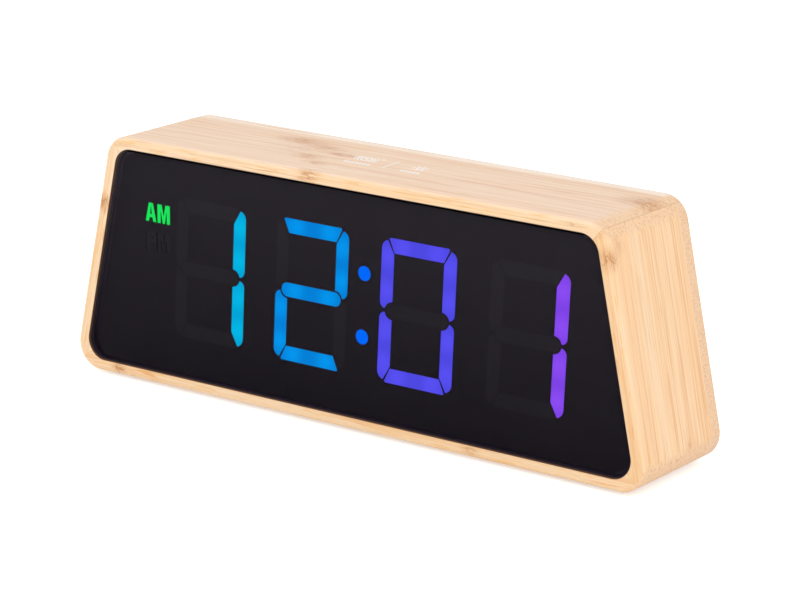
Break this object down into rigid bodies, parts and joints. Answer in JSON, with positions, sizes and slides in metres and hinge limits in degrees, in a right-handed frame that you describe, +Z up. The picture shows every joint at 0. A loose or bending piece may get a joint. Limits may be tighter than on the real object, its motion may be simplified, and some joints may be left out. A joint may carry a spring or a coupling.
{
  "type": "digital led desk clock",
  "caption": "Digital desk clock: bamboo box with leaning sides and round corners, smoked front with large slanted seven-segment digits, touch controls on top, keys and power socket behind.",
  "frame": {"origin": "middle of the underside of the feet: middle of the width and the depth, on the surface it stands on", "axes": "+X along the width to the right as seen from the front, +Y from the display to the back, +Z up"},
  "size_m": [0.2062, 0.0416, 0.0766],
  "materials": {
    "bamboo": "satin lacquered bamboo",
    "foot_rubber": "matte black rubber",
    "smoked_panel": "glossy smoked acrylic",
    "tape": "black foam tape",
    "black_film": "matte black printed film",
    "digit_1_light": "translucent diffuser, lit cyan",
    "digit_2_light": "translucent diffuser, lit azure",
    "dot_light": "translucent diffuser, lit blue",
    "digit_3_light": "translucent diffuser, lit indigo",
    "digit_4_light": "translucent diffuser, lit violet",
    "am_light": "translucent diffuser, lit green",
    "unlit_diffuser": "translucent diffuser, unlit",
    "white_plastic": "matte white moulding",
    "circuit_board": "green solder mask",
    "led_white": "matte white",
    "chip_black": "matte black",
    "screw_steel": "zinc plated",
    "block_wood": "plain sawn wood",
    "copper": "bare copper",
    "cable_grey": "grey flat cable",
    "black_plastic": "fine textured black",
    "black_screw": "black coated",
    "cell_steel": "satin steel",
    "contact_steel": "nickel plated spring steel",
    "switch_black": "matte black",
    "switch_steel": "plated steel",
    "socket_steel": "plated steel",
    "capacitor_can": "satin aluminium",
    "connector_plastic": "ivory plastic",
    "knob_plastic": "matte black",
    "button_plastic": "satin black"
  },
  "bodies": {
    "case": {"bottom_board": "bamboo", "right_board": "bamboo", "top_board": "bamboo", "left_board": "bamboo", "back_board": "bamboo", "feet": "foot_rubber", "front_panel": "smoked_panel", "panel_tape": "tape", "window_film": "black_film", "digit_1_segments": "digit_1_light", "digit_2_segments": "digit_2_light", "digit_3_segments": "digit_3_light", "digit_4_segments": "digit_4_light", "colon_dots": "dot_light", "am_diffuser": "am_light", "pm_diffuser": "unlit_diffuser", "reflector": "white_plastic", "display_board": "circuit_board", "segment_leds": "led_white", "display_drivers": "chip_black", "module_screws": "screw_steel", "mounting_blocks": "block_wood", "display_screws": "screw_steel", "touch_board": "circuit_board", "touch_pads": "copper", "touch_cable": "cable_grey", "rear_plate": "black_plastic", "rear_plate_screws": "black_screw", "coin_cell": "cell_steel", "minus_contact": "contact_steel", "plus_contact": "contact_steel", "button_switches": "switch_black", "slide_switch": "switch_steel", "power_socket": "socket_steel", "buzzer": "switch_black", "main_board": "circuit_board", "main_board_screws": "screw_steel", "clock_chip": "chip_black", "crystal": "cell_steel", "capacitors": "capacitor_can", "chip_resistors": "chip_black", "connectors": "connector_plastic", "display_cable": "cable_grey"},
    "push_1": {"button_1": "button_plastic", "plunger_1": "switch_black"},
    "push_2": {"button_2": "button_plastic", "plunger_2": "switch_black"},
    "push_3": {"button_3": "button_plastic", "plunger_3": "switch_black"},
    "push_4": {"button_4": "button_plastic", "plunger_4": "switch_black"},
    "push_5": {"button_5": "button_plastic", "plunger_5": "switch_black"},
    "knob": {"slide_knob": "knob_plastic"},
    "door": {"battery_door": "black_plastic"}
  },
  "joints": [
    {"name": "button_1_press", "type": "slide", "parent": "case", "child": "push_1", "axis": [0, -1, 0], "range_m": [0, 0.0005], "stiffness_N_per_m": 1500},
    {"name": "button_2_press", "type": "slide", "parent": "case", "child": "push_2", "axis": [0, -1, 0], "range_m": [0, 0.0005], "stiffness_N_per_m": 1500},
    {"name": "button_3_press", "type": "slide", "parent": "case", "child": "push_3", "axis": [0, -1, 0], "range_m": [0, 0.0005], "stiffness_N_per_m": 1500},
    {"name": "button_4_press", "type": "slide", "parent": "case", "child": "push_4", "axis": [0, -1, 0], "range_m": [0, 0.0005], "stiffness_N_per_m": 1500},
    {"name": "button_5_press", "type": "slide", "parent": "case", "child": "push_5", "axis": [0, -1, 0], "range_m": [0, 0.0005], "stiffness_N_per_m": 1500},
    {"name": "knob_slide", "type": "slide", "parent": "case", "child": "knob", "axis": [1, 0, 0], "range_m": [0, 0.002]},
    {"name": "door_hinge", "type": "hinge", "parent": "case", "child": "door", "pos_m": [0.042, 0.0191, 0.0513], "axis": [1, 0, 0], "range_deg": [0, 75]}
  ]
}
